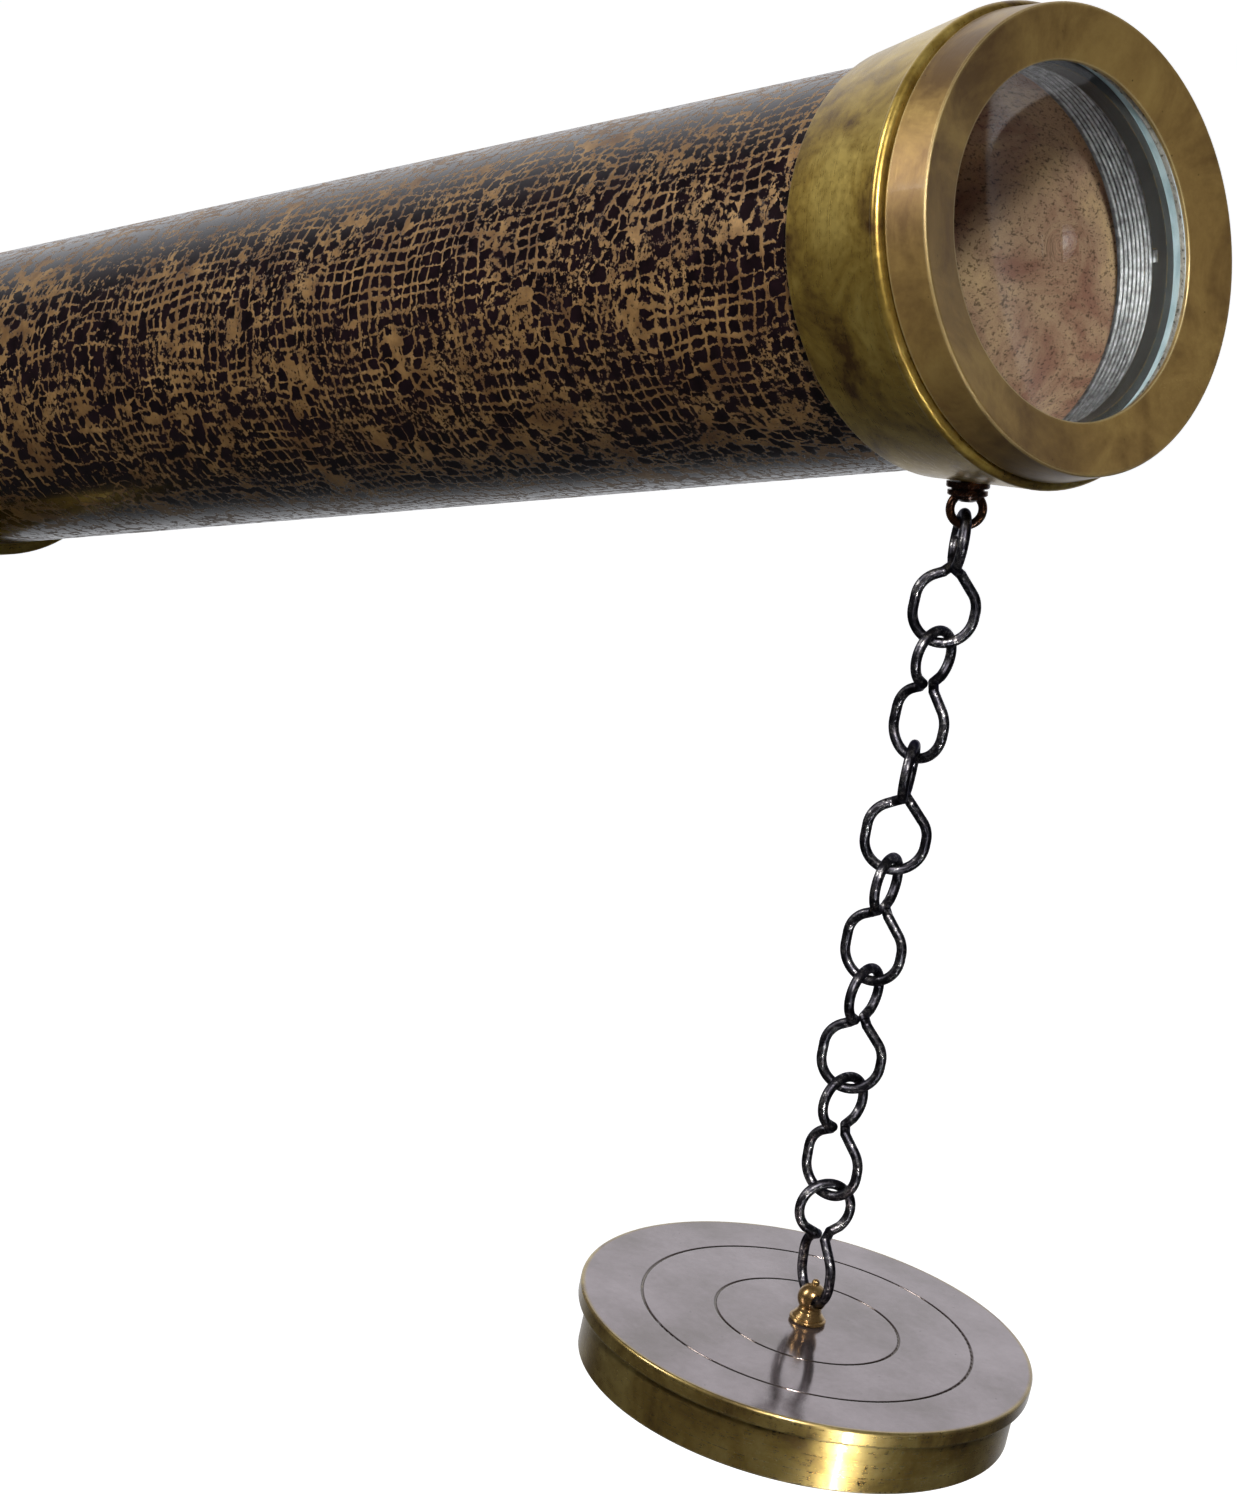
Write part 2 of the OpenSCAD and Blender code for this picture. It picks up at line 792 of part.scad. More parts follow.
// A bearing ring for the rack tube, from s to s + len, open below for the rack.
module guide(s, len) {
    color([0.55, 0.45, 0.27])
        difference() {
            turned()
                polygon([
                    [rack_tube_r + run_gap, -s], [housing_in_r - 0.02, -s],
                    [housing_in_r - 0.02, -s - len], [rack_tube_r + run_gap, -s - len]
                ]);
            at_s(s + len + 1)
                translate([0, -2.9, -24])
                    cube([len + 2, 5.8, 8]);
        }
}

module guide_front() {
    guide(644, 16);
}

module guide_rear() {
    guide(717, 16);
}

module pinion_block() {
    color([0.6, 0.5, 0.3])
        at_s(pinion_s)
            difference() {
                union() {
                    translate([-13, -13, pinion_z])
                        cube([26, 26, 16]);
                    intersection() {
                        translate([0, 0, pinion_z])
                            rotate([90, 0, 0])
                                cylinder(r = 6, h = 40, center = true, $fn = medium);
                        translate([-10, -30, pinion_z])
                            cube([20, 60, 20]);
                    }
                }
                translate([-30, 0, 0])
                    rotate([0, 90, 0])
                        cylinder(r = housing_r + 0.02, h = 60, $fn = fine);
                translate([-6.6, -5, pinion_z - 1])
                    cube([13.2, 10, 12]);
                translate([0, 0, pinion_z])
                    rotate([90, 0, 0])
                        cylinder(r = shaft_r + run_gap, h = 60, center = true, $fn = medium);
                cover_screw_spots()
                    translate([0, 0, -1])
                        cylinder(r = 1.05, h = 14.5, $fn = small);
            }
}

// The four cover screws, z pointing up into the block, z = 0 on the cover's underside.
module cover_screw_spots() {
    for (x = [-9.8, 9.8])
        for (y = [-9, 9])
            translate([x, y, pinion_z - 9])
                children();
}

module pinion_cover() {
    color([0.6, 0.5, 0.3])
        at_s(pinion_s)
            difference() {
                union() {
                    translate([-13, -13, pinion_z - 9])
                        cube([26, 26, 8.98]);
                    intersection() {
                        translate([0, 0, pinion_z])
                            rotate([90, 0, 0])
                                cylinder(r = 6, h = 40, center = true, $fn = medium);
                        translate([-10, -30, pinion_z - 20])
                            cube([20, 60, 19.98]);
                    }
                }
                translate([-6.6, -5, pinion_z - 6.6])
                    cube([13.2, 10, 12]);
                translate([0, 0, pinion_z])
                    rotate([90, 0, 0])
                        cylinder(r = shaft_r + run_gap, h = 60, center = true, $fn = medium);
                cover_screw_spots()
                    translate([0, 0, -1])
                        cylinder(r = 1.05, h = 14, $fn = small);
            }
}

module cover_screws() {
    color([0.5, 0.4, 0.22])
        at_s(pinion_s)
            cover_screw_spots()
                rotate([180, 0, 0])
                    translate([0, 0, 0.02])
                        screw(2.1, 1.4, 1, 12);
}

module focus_tube() {
    color([0.66, 0.56, 0.34])
        turned()
            polygon([
                [rack_tube_r - 1, -625], [rack_tube_r - 0.3, -625], [rack_tube_r, -625.3],
                [rack_tube_r, -827], [rack_tube_r - 1, -827]
            ]);
}

module focus_rack() {
    root = rack_line - pinion_add - tooth_gap;
    half_root = rack_pitch / 4 + (rack_line - root) * tan(flank) - backlash / 2;
    half_tip = rack_pitch / 4 - rack_add * tan(flank) - backlash / 2;
    color([0.5, 0.4, 0.22])
        difference() {
            at_s(pinion_s)
                translate([0, 2.5, 0])
                    rotate([90, 0, 0])
                        linear_extrude(height = 5)
                            union() {
                                translate([rack_tooth_x(rack_teeth - 0.5), -root])
                                    square([rack_teeth * rack_pitch, root - rack_tube_r + 2]);
                                for (i = [0 : rack_teeth - 1])
                                    translate([rack_tooth_x(i), 0])
                                        polygon([
                                            [-half_root, -root], [-half_tip, -rack_line - rack_add],
                                            [half_tip, -rack_line - rack_add], [half_root, -root]
                                        ]);
                            }
            at_s(900)
                rotate([0, 90, 0])
                    cylinder(r = rack_tube_r + 0.01, h = 400, $fn = fine);
        }
}

// Tooth i of the rack, ahead of the pinion's axis; a gap stands over the axis.
function rack_tooth_x(i) =
    (floor((pinion_s - rack_s) / rack_pitch) - 0.5 - i) * rack_pitch;

module focus_end_ring() {
    color([0.62, 0.52, 0.3])
        turned()
            polygon([
                [draw_r + run_gap, -812], [rack_tube_r - 1.02, -812], [rack_tube_r - 1.02, -827.02],
                [20.6, -827.02], [21.6, -828], [21.9, -830], [21.6, -832], [20.4, -833],
                [20.4, -838], [19.8, -840], [18, -841], [draw_r + run_gap, -841]
            ]);
}

// Half the angle of a pinion tooth at radius r.
function involute(r) = r <= base_r ? 0 : tan(acos(base_r / r)) * 180 / PI - acos(base_r / r);
function tooth_half(r) =
    90 / pinion_teeth - backlash * 45 / (PI * pitch_r) + involute(pitch_r) - involute(r);

module pinion() {
    tip = pitch_r + pinion_add;
    root = pitch_r - rack_add - tooth_gap;
    steps = 5;
    radii = [root, for (k = [0 : steps]) base_r + (tip - base_r) * k / steps];
    half = [for (r = radii) [r, tooth_half(r)]];
    n = len(half);
    tooth = concat(
        [for (k = [0 : n - 1]) [half[k][0] * cos(-half[k][1]), half[k][0] * sin(-half[k][1])]],
        [for (k = [n - 1 : -1 : 0]) [half[k][0] * cos(half[k][1]), half[k][0] * sin(half[k][1])]]
    );
    color([0.5, 0.48, 0.45])
        at_s(pinion_s)
            translate([0, 0, pinion_z])
                rotate([90, 0, 0])
                    union() {
                        translate([0, 0, -4.2])
                            linear_extrude(height = 8.4)
                                union() {
                                    circle(r = root + 0.02, $fn = medium);
                                    for (i = [0 : pinion_teeth - 1])
                                        rotate([0, 0, 90 + i * 360 / pinion_teeth])
                                            polygon(tooth);
                                }
                        cylinder(r = shaft_r, h = 64, center = true, $fn = medium);
                    }
}

module knob_at(side) {
    color([0.62, 0.52, 0.3])
        at_s(pinion_s)
            translate([0, 0, pinion_z])
                rotate([side * -90, 0, 0])
                    translate([0, 0, 24.5])
                        difference() {
                            milled_knob(knob_r, 11, 1.05, 36);
                            translate([0, 0, -1])
                                cylinder(r = shaft_r + 0.02, h = 8.5, $fn = medium);
                        }
}

module knob_left() {
    knob_at(1);
}

module knob_right() {
    knob_at(-1);
}

module knob_screws() {
    color([0.45, 0.44, 0.42])
        for (side = [-1, 1])
            at_s(pinion_s)
                translate([0, 0, pinion_z])
                    rotate([side * -90, 0, 0])
                        translate([0, 0, 35.52])
                            screw(3, 1.6, 1, 3.4);
}

module draw_tube() {
    color([0.66, 0.56, 0.34])
        turned()
            polygon([
                [draw_r - 0.9, -draw_s], [draw_r, -draw_s], [draw_r, -draw_s - draw_len],
                [draw_r - 0.9, -draw_s - draw_len]
            ]);
}

module draw_guide() {
    color([0.55, 0.45, 0.27])
        turned()
            polygon([
                [draw_r + 0.01, -draw_s - 1], [rack_tube_r - 1 - run_gap, -draw_s - 1],
                [rack_tube_r - 1 - run_gap, -draw_s - 11], [draw_r + 0.01, -draw_s - 11]
            ]);
}

module erector_cell() {
    r = draw_r - 0.95;
    s = draw_s + 2;
    color([0.45, 0.36, 0.2])
        turned()
            polygon([
                [9, -s], [r, -s], [r, -s - 88], [11.5, -s - 88], [11.5, -s - 85],
                [r - 1.6, -s - 85], [r - 1.6, -s - 3], [9, -s - 3]
            ]);
}

// A plano-convex lens of radius r: flat face at s, domed towards the back, edge thickness e.
module simple_lens(r, s, e, dome_r) {
    color([0.8, 0.88, 0.9, 0.35])
        turned(medium)
            intersection() {
                translate([0, -s - e - 8])
                    square([r, e + 8]);
                translate([0, -s - e - (dome_r - sqrt(dome_r * dome_r - r * r)) + dome_r])
                    circle(r = dome_r, $fn = 360);
            }
}

module erector_front_lens() {
    simple_lens(draw_r - 2.6, draw_s + 5.1, 1.8, 40);
}

module erector_rear_lens() {
    simple_lens(draw_r - 2.6, draw_s + 82.5, 1.8, 40);
}

module erector_stop() {
    r = draw_r - 2.6;
    s = draw_s + 44;
    color([0.1, 0.1, 0.1])
        turned(medium)
            polygon([[2.6, -s], [r, -s], [r, -s - 6], [r - 1, -s - 6], [r - 1, -s - 1], [3.2, -s - 1]]);
}

module eyepiece_barrel() {
    end = draw_s + draw_len;
    color([0.62, 0.52, 0.3])
        turned()
            polygon([
                [12.6, -end + 32], [draw_r - 0.95, -end + 32], [draw_r - 0.95, -end - 0.02],
                [17.6, -end - 0.02], [18.3, -end - 1], [18.5, -end - 3], [18.3, -end - 5],
                [17.4, -end - 6], [17.4, -end - 27], [13.5, -end - 27], [13.5, -end - 5],
                [12.6, -end - 5]
            ]);
}

module field_lens() {
    simple_lens(12.5, draw_s + draw_len - 28, 2, 30);
}

module field_stop() {
    s = draw_s + draw_len - 8;
    color([0.1, 0.1, 0.1])
        turned(medium)
            polygon([[7.5, -s], [12.55, -s], [12.55, -s - 5], [11.6, -s - 5], [11.6, -s - 1], [8, -s - 1]]);
}

module eye_lens() {
    simple_lens(9, draw_s + draw_len + 17, 1.8, 16);
}

module eye_ring() {
    s = draw_s + draw_len + 16;
    color([0.55, 0.45, 0.27])
        turned(medium)
            polygon([
                [8.2, -s], [13.45, -s], [13.45, -s - 6.5], [9.1, -s - 6.5],
                [9.1, -s - 0.9], [8.2, -s - 0.9]
            ]);
}

module eye_cup() {
    s = draw_s + draw_len + 27.02;
    color([0.62, 0.52, 0.3])
        difference() {
            turned()
                union() {
                    polygon([
                        [5, -eye_end], [19.8, -eye_end], [19.8, -eye_end + 3],
                        [19.4, -eye_end + 6], [19, -s - 2], [18.2, -s], [13.4, -s],
                        [13.4, -s + 4], [9.5, -s - 1], [8, -eye_end + 8], [5, -eye_end + 3]
                    ]);
                    translate([19.8, -eye_end + 1.4])
                        circle(r = 1.3, $fn = small);
                }
            shutter_place()
                translate([0, 0, -8])
                    cylinder(r = 1, h = 10, $fn = small);
        }
}

// Where the shutter turns: z points backwards out of the cup's face.
module shutter_place() {
    at_s(eye_end)
        translate([0, 0, 13])
            rotate([0, -90, 0])
                children();
}

module shutter() {
    color([0.6, 0.5, 0.3])
        shutter_place()
            translate([0, 0, 0.3])
                difference() {
                    linear_extrude(height = 1)
                        union() {
                            circle(r = 3, $fn = medium);
                            translate([-13, 0])
                                circle(r = 6.6, $fn = medium);
                            translate([-10, -2.6])
                                square([10, 5.2]);
                            translate([-21, -1.6])
                                square([6, 3.2]);
                            translate([-21, 0])
                                circle(r = 1.6, $fn = small);
                        }
                    translate([0, 0, -1])
                        cylinder(r = 1.05, h = 4, $fn = small);
                }
}

module shutter_screw() {
    color([0.45, 0.44, 0.42])
        shutter_place()
            translate([0, 0, 1.6])
                screw(2.4, 1.1, 0.98, 6);
}

bezel();
collar();
crown_lens();
flint_lens();
lens_spacer();
lock_ring();
main_tube();
baffle_front();
baffle_middle();
baffle_rear();
eye_bolt();
link(1);  // link_1
link(2);  // link_2
link(3);  // link_3
link(4);  // link_4
link(5);  // link_5
link(6);  // link_6
link(7);  // link_7
cap_disc();
cap_skirt();
cap_finial();
saddle();
saddle_screws();
yoke();
tilt_bolt();
tilt_washers();
clamp_knob();
tail_collar();
focuser_housing();
housing_screws();
guide_front();
guide_rear();
pinion_block();
pinion_cover();
cover_screws();
focus_tube();
focus_rack();
focus_end_ring();
pinion();
knob_left();
knob_right();
knob_screws();
draw_tube();
draw_guide();
erector_cell();
erector_front_lens();
erector_rear_lens();
erector_stop();
eyepiece_barrel();
field_lens();
field_stop();
eye_lens();
eye_ring();
eye_cup();
shutter();
shutter_screw();
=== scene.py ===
import json
import math

import bpy
from mathutils import Matrix, Vector


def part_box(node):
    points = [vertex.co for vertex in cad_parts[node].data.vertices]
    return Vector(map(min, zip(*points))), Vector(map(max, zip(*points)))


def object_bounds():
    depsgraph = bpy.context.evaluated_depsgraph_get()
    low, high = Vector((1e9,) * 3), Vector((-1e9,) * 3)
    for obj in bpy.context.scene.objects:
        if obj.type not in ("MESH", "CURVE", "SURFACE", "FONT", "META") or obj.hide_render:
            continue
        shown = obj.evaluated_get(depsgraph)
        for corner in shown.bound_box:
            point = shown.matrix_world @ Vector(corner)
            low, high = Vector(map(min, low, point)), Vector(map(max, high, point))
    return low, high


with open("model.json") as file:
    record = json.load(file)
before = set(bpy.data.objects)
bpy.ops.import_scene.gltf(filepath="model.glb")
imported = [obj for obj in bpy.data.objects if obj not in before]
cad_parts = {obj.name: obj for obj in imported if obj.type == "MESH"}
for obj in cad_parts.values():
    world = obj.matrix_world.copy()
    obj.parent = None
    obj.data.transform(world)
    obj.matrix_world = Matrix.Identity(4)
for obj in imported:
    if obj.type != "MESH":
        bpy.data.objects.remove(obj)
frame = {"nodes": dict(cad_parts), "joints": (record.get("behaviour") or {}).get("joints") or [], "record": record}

CAD_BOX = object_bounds()
NODES = frame["nodes"]
JOINTS = {joint["name"]: joint for joint in frame["joints"]}
MM = 1000.0  # millimetres in a metre: the materials' coordinates are in millimetres


# ---------------------------------------------------------------- where things are

def centre_of(node):
    low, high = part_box(node)
    return (low + high) / 2


def turning_axis(node):
    """The upward axis of a turned piece that stands nearly upright, from its flat faces."""
    total = Vector((0, 0, 0))
    for face in NODES[node].data.polygons:
        if face.normal.z > 0.9:
            total += face.normal * face.area
    return total.normalized()


TUBE_AXIS = -Vector(JOINTS["focus_slide"]["axis"]).normalized()  # towards the objective
TUBE_SIDE = Vector((0, 1, 0))
TUBE_CENTRE = centre_of("main_tube")
CAP_AXIS = turning_axis("cap_disc")
CAP_CENTRE = centre_of("cap_disc")


# ---------------------------------------------------------------- material tools

def srgb(red, green, blue):
    """A linear colour from the 0-255 numbers that a colour picker shows."""
    def linear(channel):
        value = channel / 255
        return value / 12.92 if value <= 0.04045 else ((value + 0.055) / 1.055) ** 2.4
    return (linear(red), linear(green), linear(blue), 1.0)


class Graph:
    """One material, its nodes written as nested calls. Lengths are in millimetres."""

    def __init__(self, name):
        self.material = bpy.data.materials.new(name)
        self.material.use_nodes = True
        self.nodes = self.material.node_tree.nodes
        self.links = self.material.node_tree.links
        self.nodes.clear()
        place = self.add("ShaderNodeTexCoord", {}).outputs["Object"]
        self.point = self.vector("SCALE", place, scale=MM)

    def add(self, kind, inputs, **settings):
        node = self.nodes.new(kind)
        for key, value in settings.items():
            setattr(node, key, value)
        for key, value in inputs.items():
            if isinstance(value, bpy.types.NodeSocket):
                self.links.new(value, node.inputs[key])
            elif value is not None:
                node.inputs[key].default_value = value
        return node

    def vector(self, operation, a, b=None, scale=None):
        node = self.add("ShaderNodeVectorMath", {0: a}, operation=operation)
        if b is not None:
            if isinstance(b, bpy.types.NodeSocket):
                self.links.new(b, node.inputs[1])
            else:
                node.inputs[1].default_value = b
        if scale is not None:
            if isinstance(scale, bpy.types.NodeSocket):
                self.links.new(scale, node.inputs["Scale"])
            else:
                node.inputs["Scale"].default_value = scale
        single = operation in ("DOT_PRODUCT", "LENGTH", "DISTANCE")
        return node.outputs["Value" if single else "Vector"]

    def math(self, operation, a, b=None):
        return self.add("ShaderNodeMath", {0: a, 1: b}, operation=operation).outputs[0]

    def times(self, a, b):
        return self.math("MULTIPLY", a, b)

    def plus(self, a, b):
        return self.math("ADD", a, b)

    def least(self, a, b):
        return self.math("MINIMUM", a, b)

    def most(self, a, b):
        return self.math("MAXIMUM", a, b)

    def fit(self, value, start, end, low=0.0, high=1.0, smooth=False):
        """value mapped from start..end to low..high, and held at the ends."""
        keys = {"Value": value, "From Min": start, "From Max": end, "To Min": low, "To Max": high}
        kind = "SMOOTHSTEP" if smooth else "LINEAR"
        return self.add("ShaderNodeMapRange", keys, interpolation_type=kind).outputs["Result"]

    def noise(self, size, detail=3.0, roughness=0.55, distortion=0.0, place=None):
        """Noise of about 0..1 whose blobs are size mm across."""
        keys = {"Vector": place or self.point, "Scale": 1 / size, "Detail": detail,
                "Roughness": roughness, "Distortion": distortion}
        return self.add("ShaderNodeTexNoise", keys).outputs["Fac"]

    def wobble(self, size, reach):
        """A moving of points by up to about reach mm, in swirls size mm across."""
        keys = {"Vector": self.point, "Scale": 1 / size, "Detail": 2.0}
        colour = self.add("ShaderNodeTexNoise", keys).outputs["Color"]
        return self.vector("SCALE", self.vector("SUBTRACT", colour, (0.5, 0.5, 0.5)), scale=2 * reach)

    def cells(self, size, feature="F1", metric="EUCLIDEAN", randomness=1.0, place=None):
        """The distance to the nearest (F1) or next nearest (F2) of points about size mm apart."""
        keys = {"Vector": place or self.point, "Scale": 1 / size, "Randomness": randomness}
        node = self.add("ShaderNodeTexVoronoi", keys, feature=feature, distance=metric)
        return node.outputs["Distance"]

    def lines(self, along, spacing, randomness):
        """The distance, in mm, to the nearest of a family of unevenly spaced lines."""
        keys = {"W": along, "Scale": 1 / spacing, "Randomness": randomness}
        node = self.add("ShaderNodeTexVoronoi", keys, voronoi_dimensions="1D",
                        feature="DISTANCE_TO_EDGE")
        return self.times(node.outputs["Distance"], spacing)

    def mix(self, share, a, b):
        node = self.add("ShaderNodeMix", {0: share}, data_type="RGBA")
        for index, value in ((6, a), (7, b)):
            if isinstance(value, bpy.types.NodeSocket):
                self.links.new(value, node.inputs[index])
            else:
                node.inputs[index].default_value = value
        return node.outputs[2]

    def ramp(self, share, stops):
        node = self.add("ShaderNodeValToRGB", {"Fac": share})
        band = node.color_ramp
        while len(band.elements) < len(stops):
            band.elements.new(0.5)
        for element, (position, colour) in zip(band.elements, stops):
            element.position = position
            element.color = colour
        return node.outputs["Color"]

    def soft_edge(self, radius):
        """The normal with every sharp edge rounded off by radius mm."""
        keys = {"Radius": radius / MM}
        return self.add("ShaderNodeBevel", keys, samples=4).outputs["Normal"]

    def edge_share(self, radius):
        """1 within about radius mm of a sharp edge and 0 away from it."""
        plain = self.add("ShaderNodeNewGeometry", {}).outputs["Normal"]
        facing = self.vector("DOT_PRODUCT", plain, self.soft_edge(radius))
        return self.fit(facing, 0.995, 0.85)

    def bump(self, height, depth, normal=None):
        """A bump whose height of 1 stands depth mm proud."""
        keys = {"Height": height, "Distance": depth / MM, "Strength": 1.0}
        if normal is not None:
            keys["Normal"] = normal
        return self.add("ShaderNodeBump", keys).outputs["Normal"]

    def round_frame(self, centre, axis, side):
        """(distance along the axis, radius, angle) of a point about a turned piece's axis."""
        up = axis.cross(side).normalized()
        across = up.cross(axis).normalized()
        offset = self.vector("SUBTRACT", self.point, tuple(centre * MM))
        along = self.vector("DOT_PRODUCT", offset, tuple(axis))
        left = self.vector("DOT_PRODUCT", offset, tuple(across))
        height = self.vector("DOT_PRODUCT", offset, tuple(up))
        radius = self.math("SQRT", self.plus(self.times(left, left), self.times(height, height)))
        return along, radius, self.math("ARCTAN2", left, height)

    def surface(self, **inputs):
        """The material's Principled shader: names as its sockets have them, with _ for a space."""
        keys = {key.replace("_", " "): value for key, value in inputs.items()}
        return self.add("ShaderNodeBsdfPrincipled", keys).outputs["BSDF"]

    def finish(self, shader):
        self.add("ShaderNodeOutputMaterial", {"Surface": shader})
        return self.material


# ---------------------------------------------------------------- materials

TUBE_FRAME = (TUBE_CENTRE, TUBE_AXIS, TUBE_SIDE)
CAP_FRAME = (CAP_CENTRE, CAP_AXIS, TUBE_SIDE)


def far_end(node, centre, axis):
    """How far, in mm, a piece reaches from centre along axis."""
    obj = NODES[node]
    return max((obj.matrix_world @ v.co - centre).dot(axis) for v in obj.data.vertices) * MM


CAP_TOP = far_end("cap_disc", CAP_CENTRE, CAP_AXIS)
BEZEL_FACE = far_end("bezel", TUBE_CENTRE, TUBE_AXIS)
TUBE_FRONT = far_end("main_tube", TUBE_CENTRE, TUBE_AXIS)
BARE_DEPTH, BLACK_DEPTH = 75.0, 95.0  # behind the tube's front: bare brass ends, black begins
TUBE_RADIUS = 38.1
TUBE_SKIN = 37.6  # between the tube's inner and outer surfaces


def aged_brass(name, light, middle, dark, round_frame, blotch=14.0, rough=(0.24, 0.40), coat=0.15,
               edge=None, lathe=0.01, spread=0.16, rings_at=(), top=None, metal=0.85,
               bore=None):
    """Brass under an old lacquer: blotches of tarnish, turning marks, pale edges and pits."""
    g = Graph(name)
    along, radius, angle = g.round_frame(*round_frame)
    turned = g.plus(along, radius)
    cloud = g.noise(blotch, 5.0, 0.6, 0.6)
    fine = g.noise(1.6, 4.0, 0.7)
    rings = g.add("ShaderNodeTexNoise", {"W": turned, "Scale": 2.6, "Detail": 5.0, "Roughness": 0.75},
                  noise_dimensions="1D").outputs["Fac"]
    tone = g.plus(g.times(cloud, 0.85), g.times(fine, 0.15))
    colour = g.ramp(tone, [(0.5 - spread, dark), (0.50, middle), (0.5 + spread, light)])
    roughness = g.fit(g.plus(g.times(fine, 0.5), g.times(rings, 0.5)), 0.35, 0.65, *rough)
    if top is not None:
        # Painted reflection: the top face is tinted grey-mauve, standing in for the bright studio it mirrors; it
        # is also made smoother than the rest.
        height, grey, polish = top
        mist = g.plus(g.times(g.noise(26.0, 4.0, 0.55), 0.8), g.times(fine, 0.2))
        painted_top_reflection = g.ramp(mist, [(0.36, grey[0]), (0.50, grey[1]), (0.64, grey[2])])
        share = g.times(g.fit(along, height - 0.35, height - 0.15), g.fit(radius, 45.6, 44.9))
        colour = g.mix(share, colour, painted_top_reflection)
        gloss = g.fit(mist, 0.35, 0.65, *polish)
        keep = g.math("SUBTRACT", 1.0, share)
        roughness = g.plus(g.times(roughness, keep), g.times(gloss, share))
    pits = g.fit(g.cells(2.3, randomness=1.0), 0.10, 0.045)
    rare = g.fit(g.noise(9.0, 2.0), 0.55, 0.62)
    pits = g.times(pits, rare)
    colour = g.mix(g.times(pits, 0.7), colour, srgb(38, 28, 20))
    if edge is not None:
        rubbed = g.times(g.edge_share(0.7), 0.8)
        for circle in rings_at:
            off = g.math("ABSOLUTE", g.math("SUBTRACT", radius, circle))
            rubbed = g.times(rubbed, g.fit(off, 1.0, 1.6))
        colour = g.mix(rubbed, colour, edge)
    for circle in rings_at:
        off = g.math("ABSOLUTE", g.math("SUBTRACT", radius, circle))
        line = g.times(g.fit(off, 0.45, 0.20), g.fit(fine, 0.25, 0.45, 0.45, 0.85))
        colour = g.mix(line, colour, srgb(62, 50, 44))
    if bore is not None:
        # Inside the bore the brass is bare and silvery.
        face, reach = bore
        bare = g.times(g.fit(along, face - 4.0, face - 4.6), g.fit(radius, reach, reach - 0.2))
        silver = g.ramp(fine, [(0.35, srgb(84, 82, 86)), (0.65, srgb(150, 148, 154))])
        colour = g.mix(bare, colour, silver)
    height = g.plus(g.times(rings, 1.0), g.times(fine, 0.35))
    normal = g.bump(height, lathe, g.soft_edge(0.35))
    return g.finish(g.surface(
        Base_Color=colour, Metallic=metal, Roughness=roughness, Normal=normal,
        Coat_Weight=coat, Coat_Roughness=0.09,
    ))


